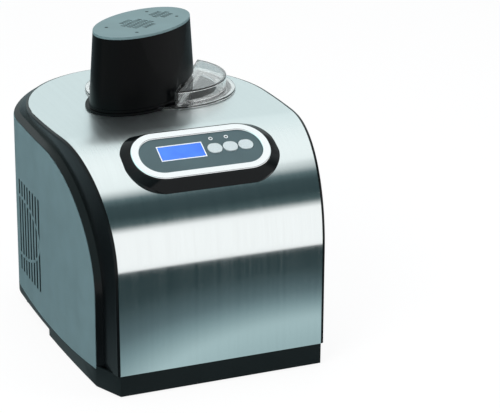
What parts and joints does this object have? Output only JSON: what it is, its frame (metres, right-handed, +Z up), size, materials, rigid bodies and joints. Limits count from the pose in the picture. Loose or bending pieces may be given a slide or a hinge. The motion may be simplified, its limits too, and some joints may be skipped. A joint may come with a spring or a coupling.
{
  "type": "ice cream maker",
  "caption": "Compressor ice cream maker: steel wrap body with a sloping control pod and a lift-off motor, lid and paddle unit over a removable bowl.",
  "frame": {"origin": "on the table, under the middle of the machine's bounding box", "axes": "+X to the right as seen from the front, +Y towards the back, +Z up"},
  "size_m": [0.2876, 0.38, 0.3513],
  "materials": {
    "stainless": "satin",
    "black_trim": "gloss",
    "side_grey": "satin",
    "black_base": "satin",
    "black_rubber": "matte",
    "chrome_trim": "polished",
    "fascia_grey": "satin",
    "blue_screen": "gloss",
    "button_grey": "satin",
    "lamp_white": "gloss",
    "board_green": "satin",
    "aluminium": "satin",
    "dark_bowl": "satin coated",
    "foam": "matte",
    "inner_plastic": "matte",
    "compressor_black": "gloss",
    "steel_parts": "satin",
    "copper": "satin",
    "brass": "satin",
    "clear_plastic": "gloss",
    "tower_black": "satin",
    "cap_grey": "satin",
    "gear_white": "satin",
    "paddle_white": "satin"
  },
  "bodies": {
    "housing": {"front_top_panel": "stainless", "left_trim": "black_trim", "right_trim": "black_trim", "pod_bezel": "black_trim", "well_collar": "black_trim", "left_side_panel": "side_grey", "right_side_panel": "side_grey", "rear_panel": "side_grey", "base_tray": "black_base", "rubber_feet": "black_rubber", "compressor_grommets": "black_rubber", "cord_gland": "black_rubber", "chrome_ring": "chrome_trim", "fascia": "fascia_grey", "lcd_display": "blue_screen", "lamp_lenses": "lamp_white", "control_board": "board_green", "power_board": "board_green", "cooling_well": "aluminium", "evaporator_sleeve": "aluminium", "condenser": "aluminium", "insulation_foam": "foam", "well_stand": "inner_plastic", "terminal_cover": "inner_plastic", "fan_shroud": "inner_plastic", "motor_socket": "inner_plastic", "compressor": "compressor_black", "compressor_bolts": "steel_parts", "fan_motor": "steel_parts", "discharge_pipe": "copper", "suction_pipe": "copper", "drier_filter": "copper", "capillary_tube": "copper"},
    "lid_unit": {"clear_lid": "clear_plastic", "motor_base": "tower_black", "motor_housing": "tower_black", "motor_cap": "cap_grey", "cap_screws": "steel_parts", "gear_plate": "steel_parts", "drive_motor": "steel_parts", "idler_pin": "steel_parts", "shaft_bush": "brass", "contact_pins": "brass"},
    "filler_cover": {"filler_cover": "clear_plastic"},
    "drive": {"output_gear": "gear_white", "drive_shaft": "steel_parts"},
    "idler": {"idler_gear": "gear_white"},
    "pinion": {"motor_pinion": "gear_white"},
    "bowl": {"bowl": "dark_bowl", "bowl_ears": "steel_parts"},
    "bail": {"bail": "steel_parts"},
    "paddle": {"paddle": "paddle_white"},
    "fan": {"fan": "inner_plastic"},
    "left_button": {"left_button": "button_grey"},
    "middle_button": {"middle_button": "button_grey"},
    "right_button": {"right_button": "button_grey"}
  },
  "joints": [
    {"name": "lid_lift", "type": "slide", "parent": "housing", "child": "lid_unit", "axis": [0, 0, 1], "range_m": [0, 0.4]},
    {"name": "cover_slide", "type": "slide", "parent": "lid_unit", "child": "filler_cover", "axis": [0.8453, -0.5344, 0], "range_m": [0, 0.055]},
    {"name": "drive_spin", "type": "hinge", "parent": "lid_unit", "child": "drive", "pos_m": [0.03, 0.0785, 0.274], "axis": [0, 0, 1], "continuous": true},
    {"name": "idler_spin", "type": "hinge", "parent": "lid_unit", "child": "idler", "pos_m": [-0.00545, 0.0516, 0.274], "axis": [0, 0, 1], "continuous": true},
    {"name": "pinion_spin", "type": "hinge", "parent": "lid_unit", "child": "pinion", "pos_m": [-0.02815, 0.03436, 0.274], "axis": [0, 0, 1], "continuous": true},
    {"name": "bowl_lift", "type": "slide", "parent": "housing", "child": "bowl", "axis": [0, 0, 1], "range_m": [0, 0.18]},
    {"name": "bail_swing", "type": "hinge", "parent": "bowl", "child": "bail", "pos_m": [0.03, 0.0785, 0.25605], "axis": [-1, 0, 0], "range_deg": [0, 90]},
    {"name": "paddle_spin", "type": "hinge", "parent": "bowl", "child": "paddle", "pos_m": [0.03, 0.0785, 0.165], "axis": [0, 0, 1], "continuous": true},
    {"name": "fan_spin", "type": "hinge", "parent": "housing", "child": "fan", "pos_m": [-0.1238, 0.075, 0.102], "axis": [1, 0, 0], "continuous": true},
    {"name": "left_button_press", "type": "slide", "parent": "housing", "child": "left_button", "axis": [0, 0.4802, -0.8771], "range_m": [0, 0.001], "stiffness_N_per_m": 400},
    {"name": "middle_button_press", "type": "slide", "parent": "housing", "child": "middle_button", "axis": [0, 0.4802, -0.8771], "range_m": [0, 0.001], "stiffness_N_per_m": 400},
    {"name": "right_button_press", "type": "slide", "parent": "housing", "child": "right_button", "axis": [0, 0.4802, -0.8771], "range_m": [0, 0.001], "stiffness_N_per_m": 400}
  ],
  "couplings": [
    {"joint": "idler_spin", "follows": "drive_spin", "ratio": -1.0698},
    {"joint": "pinion_spin", "follows": "drive_spin", "ratio": 3.2857},
    {"joint": "paddle_spin", "follows": "drive_spin", "ratio": 1},
    {"joint": "bowl_lift", "follows": "lid_lift", "ratio": 0.45},
    {"joint": "bail_swing", "follows": "lid_lift", "rad_per_m": 3.926}
  ]
}
